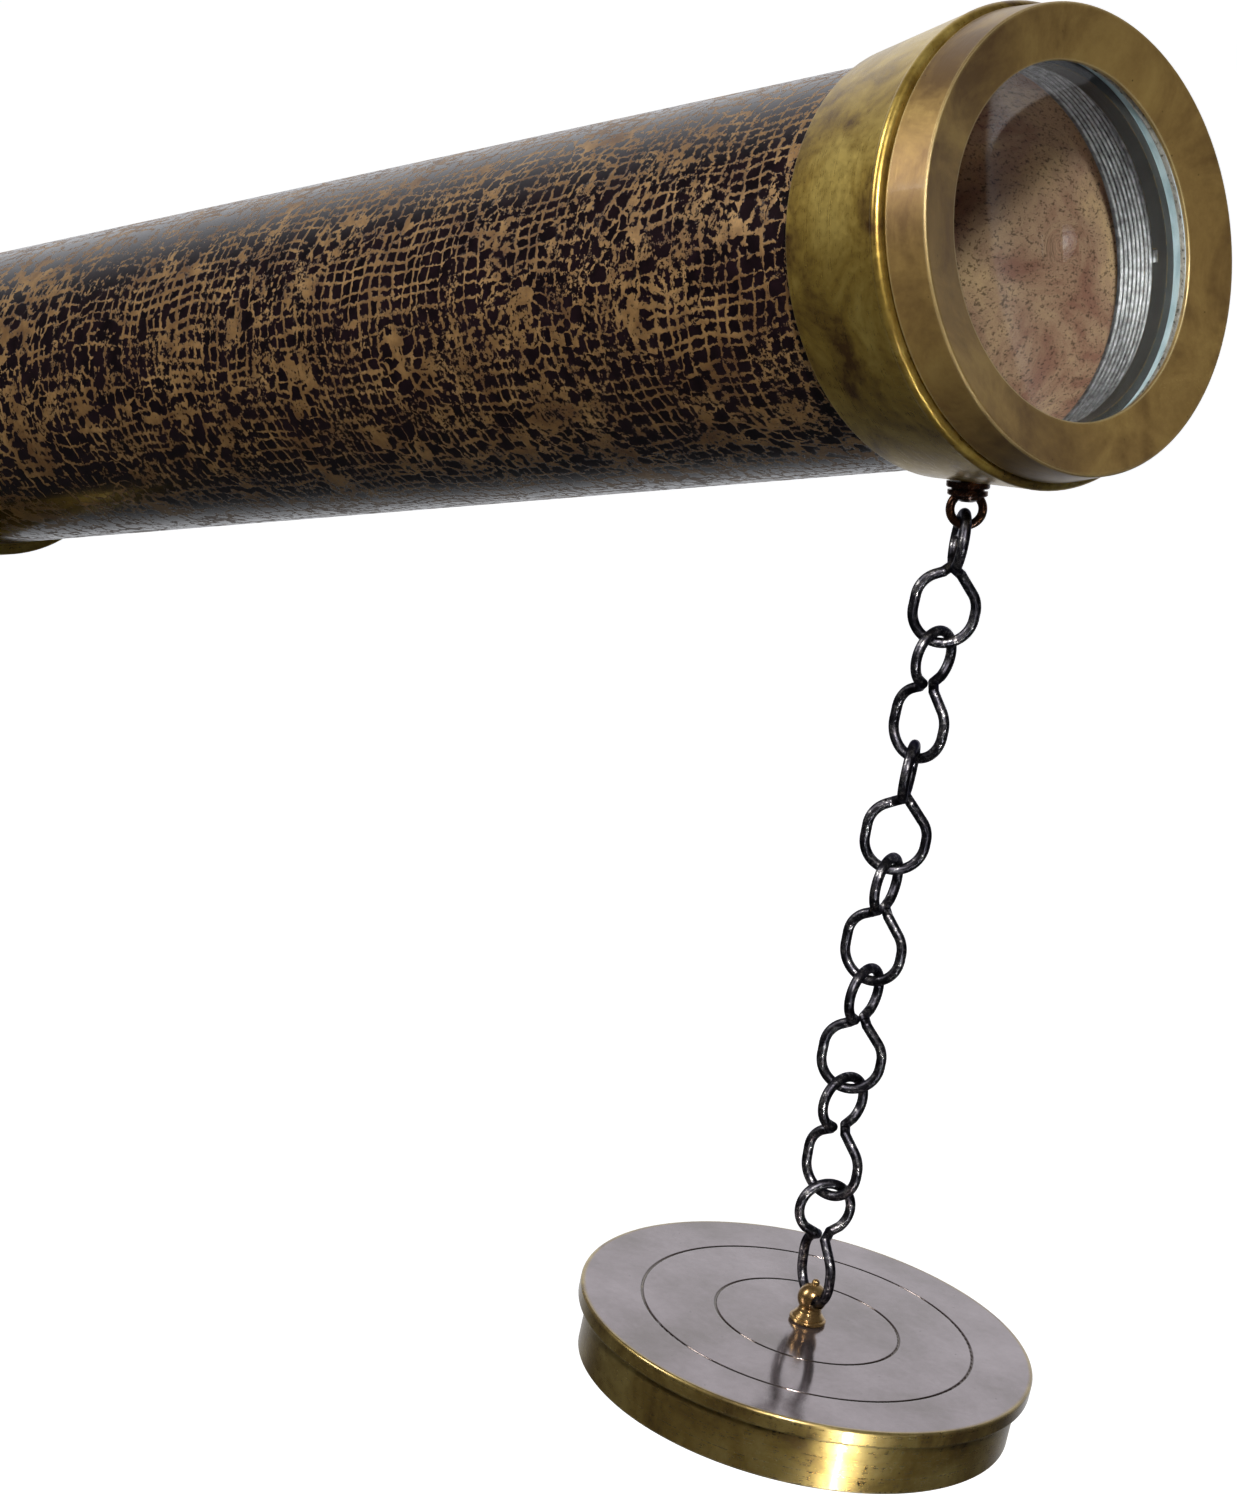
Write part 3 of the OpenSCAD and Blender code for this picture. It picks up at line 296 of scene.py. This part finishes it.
def etched_brass():
    """The main tube: a cloth's print in bronze over dark lacquer outside, bare brass inside."""
    g = Graph("etched_tube")
    along, radius, angle = g.round_frame(*TUBE_FRAME)
    around = g.times(angle, TUBE_RADIUS)
    swirl = g.add("ShaderNodeSeparateXYZ", {0: g.wobble(24.0, 4.2)}).outputs
    shiver = g.add("ShaderNodeSeparateXYZ", {0: g.wobble(2.0, 0.85)}).outputs
    across_lines = g.plus(along, g.plus(swirl[0], shiver[0]))
    long_lines = g.plus(around, g.plus(swirl[1], shiver[1]))
    # Two families of threads cross in an open weave: their meshes are a few millimetres wide.
    weft = g.lines(across_lines, 3.3, 0.95)
    warp = g.lines(long_lines, 2.8, 0.95)
    weave = g.least(weft, warp)
    # Elsewhere the meshes are bricks, whose joints don't run on.
    flat = g.add("ShaderNodeCombineXYZ", {0: across_lines, 1: g.times(long_lines, 1.3)}).outputs[0]
    near = g.cells(4.0, "F1", "CHEBYCHEV", 0.85, flat)
    next_near = g.cells(4.0, "F2", "CHEBYCHEV", 0.85, flat)
    bricks = g.times(g.math("SUBTRACT", next_near, near), 2.9)
    which = g.fit(g.noise(16.0, 2.0), 0.45, 0.55, smooth=True)
    mesh = g.plus(g.times(weave, g.math("SUBTRACT", 1.0, which)), g.times(bricks, which))
    fray = g.math("SUBTRACT", g.noise(1.0, 4.0, 0.7), 0.5)
    slack = g.fit(g.noise(11.0, 4.0, 0.65), 0.32, 0.68, 0.12, 0.48)
    mesh = g.math("SUBTRACT", mesh, slack)
    # Further back the print is broader, and what is left of the lacquer stands in rows of ovals.
    oval = g.math("SUBTRACT", 0.45, g.cells(5.6, "F1", "EUCLIDEAN", 0.45, flat))
    some = g.fit(g.noise(14.0, 2.0), 0.34, 0.48, -2.2, 0.0)
    oval = g.plus(g.times(oval, 5.6), some)
    back = g.fit(along, 150.0, 40.0, smooth=True)
    sparse = g.most(oval, g.math("SUBTRACT", mesh, g.fit(g.noise(20.0, 2.0), 0.35, 0.65, -0.15, 0.42)))
    dark = g.plus(g.times(mesh, g.math("SUBTRACT", 1.0, back)), g.times(sparse, back))
    # In patches the weave dissolves into grains.
    patch = g.fit(g.noise(17.0, 3.0, 0.6), 0.42, 0.60, 1.3, 4.2, smooth=True)
    dark = g.plus(dark, g.times(fray, patch))
    bronze = g.fit(dark, 0.10, -0.12, smooth=True)
    # Grime sits in the bronze, and the lacquer has a purple cast.
    cloud = g.noise(9.0, 4.0, 0.65)
    grime = g.fit(g.noise(2.2, 5.0, 0.8), 0.44, 0.66)
    thread = g.ramp(cloud, [
        (0.34, srgb(90, 64, 38)), (0.52, srgb(120, 92, 57)), (0.68, srgb(144, 114, 74)),
    ])
    thread = g.mix(g.times(grime, 0.5), thread, srgb(70, 50, 32))
    lacquer = g.ramp(g.noise(5.0, 3.0), [(0.35, srgb(10, 5, 7)), (0.65, srgb(22, 12, 16))])
    skin = g.mix(bronze, lacquer, thread)
    # Inside, the drawn tube is bare near the objective, sandy with reddish stains and dark
    # pits, and blackened further in.
    stain = g.noise(16.0, 5.0, 0.65, 0.8)
    bare = g.ramp(stain, [
        (0.36, srgb(150, 108, 92)), (0.50, srgb(180, 146, 122)), (0.64, srgb(206, 172, 136)),
    ])
    speck = g.fit(g.noise(0.7, 2.0, 0.9), 0.55, 0.62)
    bare = g.mix(g.times(speck, 0.7), bare, srgb(60, 46, 38))
    deep = g.fit(along, TUBE_FRONT - BARE_DEPTH, TUBE_FRONT - BLACK_DEPTH)
    bare = g.mix(deep, bare, srgb(20, 18, 17))
    outside = g.fit(radius, TUBE_SKIN - 0.2, TUBE_SKIN + 0.2)
    inside = g.math("SUBTRACT", 1.0, outside)
    colour = g.mix(outside, bare, skin)
    dull = g.fit(g.noise(1.2, 3.0), 0.3, 0.7, 0.50, 0.66)
    gloss = g.fit(bronze, 0.0, 1.0, 0.15, 0.42)
    roughness = g.plus(g.times(dull, inside), g.times(gloss, outside))
    metal = g.fit(bronze, 0.0, 1.0, 0.0, 0.2)
    metal = g.plus(g.times(metal, outside), g.times(inside, 0.15))
    relief = g.plus(g.times(bronze, outside), g.times(g.noise(0.6, 3.0, 0.7), 0.35))
    return g.finish(g.surface(
        Base_Color=colour, Metallic=metal, Roughness=roughness, Normal=g.bump(relief, 0.06),
        Specular_IOR_Level=0.3,
    ))


def chain_steel():
    """Dark drawn wire, rubbed bright in specks along the links."""
    g = Graph("chain_steel")
    cloud = g.noise(3.0, 4.0, 0.7)
    rub = g.fit(g.noise(0.9, 5.0, 0.8), 0.50, 0.60)
    rub = g.times(rub, g.fit(cloud, 0.44, 0.60))
    colour = g.ramp(cloud, [
        (0.34, srgb(38, 37, 42)), (0.55, srgb(66, 65, 72)), (0.70, srgb(98, 94, 96)),
    ])
    colour = g.mix(rub, colour, srgb(190, 188, 188))
    roughness = g.fit(rub, 0.0, 1.0, 0.34, 0.24)
    return g.finish(g.surface(
        Base_Color=colour, Metallic=1.0, Roughness=roughness, Specular_Tint=(0.35, 0.35, 0.38, 1.0),
        Normal=g.bump(g.noise(0.5, 4.0, 0.8), 0.06),
    ))


def bright_steel():
    """Turned steel screws and pins: fine rings, a little rust brown in the pores."""
    g = Graph("bright_steel")
    fine = g.noise(0.7, 4.0, 0.7)
    colour = g.ramp(g.noise(5.0, 4.0, 0.6), [(0.38, srgb(128, 122, 114)), (0.62, srgb(182, 180, 178))])
    colour = g.mix(g.times(g.fit(fine, 0.58, 0.70), 0.6), colour, srgb(74, 52, 38))
    return g.finish(g.surface(
        Base_Color=colour, Metallic=1.0, Roughness=g.fit(fine, 0.3, 0.7, 0.22, 0.38),
        Normal=g.bump(fine, 0.02, g.soft_edge(0.2)),
    ))


GLASS_INDEX = 1.52


def lens_glass(name, lens, edge_low, edge_high):
    """Clear coated glass with a ground edge. Lamps and bounced light pass it without bending."""
    g = Graph(name)
    along, radius, angle = g.round_frame(*TUBE_FRAME)
    low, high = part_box(lens)
    rim = (high.y - low.y) / 2 * MM
    clear = g.surface(
        Base_Color=(0.985, 0.995, 0.99, 1.0), Roughness=0.0, IOR=GLASS_INDEX, Transmission_Weight=1.0,
        Specular_Tint=(0.10, 0.11, 0.15, 1.0),
    )
    grain = g.noise(5.0, 2.0, 0.5)
    ground = g.surface(
        Base_Color=g.ramp(grain, [(0.35, edge_low), (0.65, edge_high)]),
        Roughness=0.5, Normal=g.bump(grain, 0.01),
    )
    edge = g.fit(radius, rim - 0.12, rim - 0.04)
    glass = g.add("ShaderNodeMixShader", {0: edge, 1: clear, 2: ground}).outputs[0]
    path = g.add("ShaderNodeLightPath", {}).outputs
    through = g.add("ShaderNodeBsdfTransparent", {"Color": (0.93, 0.95, 0.94, 1.0)}).outputs[0]
    for ray in ("Is Diffuse Ray", "Is Shadow Ray"):
        glass = g.add("ShaderNodeMixShader", {0: path[ray], 1: glass, 2: through}).outputs[0]
    return g.finish(glass)


def matt_black(name, tone, worn):
    """Stoved black paint, a little powdery, with brass showing where edges have rubbed."""
    g = Graph(name)
    cloud = g.noise(4.0, 5.0, 0.7)
    colour = g.ramp(cloud, [(0.35, tone), (0.65, srgb(44, 42, 42))])
    rub = g.times(g.edge_share(0.4), g.fit(g.noise(1.2, 3.0, 0.7), 0.40, 0.60))
    colour = g.mix(rub, colour, worn)
    return g.finish(g.surface(
        Base_Color=colour, Metallic=g.fit(rub, 0.3, 0.9), Roughness=g.fit(cloud, 0.3, 0.7, 0.52, 0.68),
        Normal=g.bump(g.noise(0.3, 3.0, 0.8), 0.03),
    ))


def leather():
    """The tilt bolt's washers: pressed brown leather with a fine grain."""
    g = Graph("washer_leather")
    grain = g.cells(0.55, "DISTANCE_TO_EDGE")
    crease = g.fit(grain, 0.0, 0.12)
    colour = g.ramp(g.noise(4.0, 4.0, 0.65), [(0.35, srgb(62, 36, 20)), (0.65, srgb(104, 66, 38))])
    colour = g.mix(crease, srgb(40, 24, 14), colour)
    return g.finish(g.surface(
        Base_Color=colour, Roughness=g.fit(crease, 0.0, 1.0, 0.75, 0.55), Normal=g.bump(crease, 0.08),
    ))


def threaded_brass():
    """The lens barrel and its rings, seen through the glass: fine bright screw threads."""
    g = Graph("threaded_brass")
    along, radius, angle = g.round_frame(*TUBE_FRAME)
    pitch = g.plus(along, g.times(angle, 0.5 / (2 * math.pi)))
    wave = g.math("ABSOLUTE", g.math("SINE", g.times(pitch, math.pi / 0.5)))
    fine = g.noise(1.2, 4.0, 0.7)
    colour = g.ramp(fine, [(0.35, srgb(132, 128, 122)), (0.65, srgb(196, 193, 188))])
    return g.finish(g.surface(
        Base_Color=colour, Metallic=0.6, Roughness=g.fit(fine, 0.3, 0.7, 0.24, 0.38),
        Normal=g.bump(wave, 0.10),
    ))


OLIVE = (srgb(206, 180, 98), srgb(168, 140, 66), srgb(96, 70, 38))
FACE = (srgb(162, 136, 80), srgb(136, 110, 64), srgb(102, 78, 46))
RIM = (srgb(170, 150, 92), srgb(136, 114, 62), srgb(96, 76, 42))
RED = (srgb(192, 164, 112), srgb(152, 122, 78), srgb(100, 76, 50))
EYE = (srgb(112, 72, 46), srgb(78, 48, 32), srgb(44, 28, 22))
PLAIN = (srgb(206, 180, 112), srgb(180, 152, 88), srgb(138, 110, 62))
# painted reflection: the grey-mauve tint given to the cap's top face in place of the bright studio it mirrors
TOP_REFLECTION_GREY = (srgb(110, 100, 98), srgb(130, 119, 121), srgb(146, 135, 138))
PALE_EDGE = srgb(206, 190, 140)
CAP_RINGS = (33.6, 18.7)  # the radii of the cap's engraved rings
BEZEL_BORE = 36.4  # everything of the bezel within this radius is its bore

MATERIALS = {
    "antique_brass": aged_brass("antique_brass", *OLIVE, TUBE_FRAME, edge=PALE_EDGE),
    "bezel_brass": aged_brass("bezel_brass", *FACE, TUBE_FRAME, blotch=18.0, rough=(0.34, 0.46),
                              edge=PALE_EDGE, metal=0.6, bore=(BEZEL_FACE, BEZEL_BORE)),
    "plain_brass": aged_brass("plain_brass", *PLAIN, TUBE_FRAME, rough=(0.16, 0.28),
                              edge=PALE_EDGE),
    "cap_brass": aged_brass("cap_brass", *RIM, CAP_FRAME, rough=(0.24, 0.36), edge=PALE_EDGE),
    "cap_top_brass": aged_brass("cap_top_brass", *RIM, CAP_FRAME, rough=(0.24, 0.36), coat=0.5,
                                edge=PALE_EDGE, rings_at=CAP_RINGS,
                                top=(CAP_TOP, TOP_REFLECTION_GREY, (0.07, 0.13))),
    "red_brass": aged_brass("red_brass", *RED, CAP_FRAME, blotch=5.0, rough=(0.18, 0.30)),
    "eye_brass": aged_brass("eye_brass", *EYE, TUBE_FRAME, blotch=3.0, rough=(0.22, 0.34)),
    "etched_brass": etched_brass(),
    "dark_steel": chain_steel(),
    "bright_steel": bright_steel(),
    "matt_black": matt_black("matt_black", srgb(18, 17, 18), srgb(120, 98, 60)),
    "matt_black_brass": matt_black("matt_black_brass", srgb(24, 22, 22), srgb(150, 122, 70)),
    "washer_leather": leather(),
    "threaded_brass": threaded_brass(),
}
PALE_GLASS = (srgb(150, 168, 178), srgb(196, 212, 220))
GLASS_EDGE = {
    "crown_lens": (srgb(176, 196, 208), srgb(214, 228, 236)),
    "flint_lens": (srgb(150, 172, 184), srgb(190, 208, 218)),
}
SPECIAL = {
    "bezel": "bezel_brass",
    "cap_disc": "cap_top_brass",
    "eye_bolt": "eye_brass",
    "lens_spacer": "threaded_brass",
    "lock_ring": "matt_black_brass",
}
SLOT_OF = {part["node"]: part["material_slot"] for part in frame["record"]["subparts"]}

for name, obj in NODES.items():
    slot = SPECIAL.get(name) or SLOT_OF[name]
    if slot == "optical_glass":
        material = lens_glass("glass_" + name, name, *GLASS_EDGE.get(name, PALE_GLASS))
    else:
        material = MATERIALS[slot]
    obj.data.materials.clear()
    obj.data.materials.append(material)


# ---------------------------------------------------------------- camera, lights and floor

CAMERA_RIGHT = Vector((0.644691, 0.748381, 0.155884))
CAMERA_UP = Vector((-0.299494, 0.059653, 0.952232))
CAMERA_BACK = Vector((0.703333, -0.660581, 0.262593))
LENS = 74.87
HEAD = centre_of("bezel")
CAMERA_PLACE = HEAD + Vector((0.37576, -0.4336, 0.04798))


def make_camera():
    data = bpy.data.cameras.new("camera")
    data.sensor_fit = "VERTICAL"
    data.sensor_height = 36.0
    data.sensor_width = 36.0
    data.lens = LENS
    data.clip_start = 0.01
    data.clip_end = 200.0
    camera = bpy.data.objects.new("camera", data)
    bpy.context.scene.collection.objects.link(camera)
    turn = Matrix((CAMERA_RIGHT, CAMERA_UP, CAMERA_BACK)).transposed()
    camera.matrix_world = Matrix.Translation(CAMERA_PLACE) @ turn.to_4x4()
    bpy.context.scene.camera = camera


def softbox(name, place, target, width, height, power, tint=(1.0, 1.0, 1.0), spread=math.pi):
    data = bpy.data.lights.new(name, "AREA")
    data.shape = "RECTANGLE"
    data.size = width
    data.size_y = height
    data.energy = power
    data.color = tint
    data.spread = spread
    light = bpy.data.objects.new(name, data)
    bpy.context.scene.collection.objects.link(light)
    light.visible_camera = False
    light.visible_transmission = False  # keeps the lamp's image out of the lenses
    light.location = place
    light.rotation_mode = "QUATERNION"
    light.rotation_quaternion = (Vector(target) - Vector(place)).to_track_quat("-Z", "Y")
    return light


def make_floor(height, reach):
    """White paper, lit from inside as well, so that it stays white to its far edge."""
    g = Graph("paper_floor")
    cloud = g.noise(400.0, 3.0)
    colour = g.ramp(cloud, [(0.3, (0.80, 0.80, 0.81, 1.0)), (0.7, (0.84, 0.84, 0.84, 1.0))])
    material = g.finish(g.surface(
        Base_Color=colour, Roughness=0.9, Normal=g.bump(g.noise(3.0, 3.0), 0.02),
        Emission_Color=(1.0, 1.0, 1.0, 1.0), Emission_Strength=0.85,
    ))
    mesh = bpy.data.meshes.new("floor")
    corners = [(x * reach, y * reach, height) for x, y in ((-1, -1), (1, -1), (1, 1), (-1, 1))]
    mesh.from_pydata(corners, [], [(0, 1, 2, 3)])
    mesh.materials.append(material)
    floor = bpy.data.objects.new("floor", mesh)
    material.cycles.emission_sampling = "NONE"
    floor.visible_glossy = False
    floor.visible_diffuse = False
    bpy.context.scene.collection.objects.link(floor)


BRIGHT_WAY = (-0.641, 0.741, 0.200)


def make_world():
    """A studio that is bright behind the telescope and dark around the photographer."""
    world = bpy.data.worlds.new("studio")
    world.use_nodes = True
    nodes, links = world.node_tree.nodes, world.node_tree.links
    nodes.clear()
    place = nodes.new("ShaderNodeTexCoord")
    dot = nodes.new("ShaderNodeVectorMath")
    dot.operation = "DOT_PRODUCT"
    dot.inputs[1].default_value = BRIGHT_WAY
    links.new(place.outputs["Generated"], dot.inputs[0])
    band = nodes.new("ShaderNodeMapRange")
    band.interpolation_type = "SMOOTHSTEP"
    for key, value in (("From Min", 0.42), ("From Max", 0.98), ("To Min", 0.035), ("To Max", 1.0)):
        band.inputs[key].default_value = value
    links.new(dot.outputs["Value"], band.inputs["Value"])
    sky = nodes.new("ShaderNodeBackground")
    sky.inputs["Color"].default_value = (0.95, 0.96, 1.0, 1.0)
    links.new(band.outputs["Result"], sky.inputs["Strength"])
    backdrop = nodes.new("ShaderNodeBackground")
    backdrop.inputs["Strength"].default_value = 1.1
    backdrop.inputs["Color"].default_value = (1.0, 1.0, 1.0, 1.0)
    seen = nodes.new("ShaderNodeLightPath")
    both = nodes.new("ShaderNodeMixShader")
    out = nodes.new("ShaderNodeOutputWorld")
    links.new(seen.outputs["Is Camera Ray"], both.inputs[0])
    links.new(sky.outputs[0], both.inputs[1])
    links.new(backdrop.outputs[0], both.inputs[2])
    links.new(both.outputs[0], out.inputs[0])
    bpy.context.scene.world = world


make_camera()
make_world()
FLOOR_DROP = 0.45  # how far the floor lies below the telescope, which hangs in a bare studio
FLOOR_REACH = 60.0
make_floor(CAD_BOX[0].z - FLOOR_DROP, FLOOR_REACH)
KEY_WAY = Vector((0.588, -0.631, 0.500)).normalized()
STRIP_WAY = Vector((0.852, -0.310, -0.420)).normalized()
softbox("key", HEAD + KEY_WAY * 1.1, HEAD, 0.12, 0.12, 17.0, (1.0, 0.97, 0.93))
LEFT_WAY = Vector((-0.45, -0.80, 0.45)).normalized()
TUBE_MIDDLE = HEAD - Vector((0.12, 0.0, 0.0))
softbox("left", TUBE_MIDDLE + LEFT_WAY * 1.2, TUBE_MIDDLE, 0.30, 0.6, 11.0, (1.0, 0.98, 0.94))
softbox("strip", CAP_CENTRE + STRIP_WAY * 0.7, CAP_CENTRE, 0.03, 0.42, 0.08, spread=0.4)

bpy.context.scene.view_settings.view_transform = "Standard"
bpy.context.scene.view_settings.look = "None"
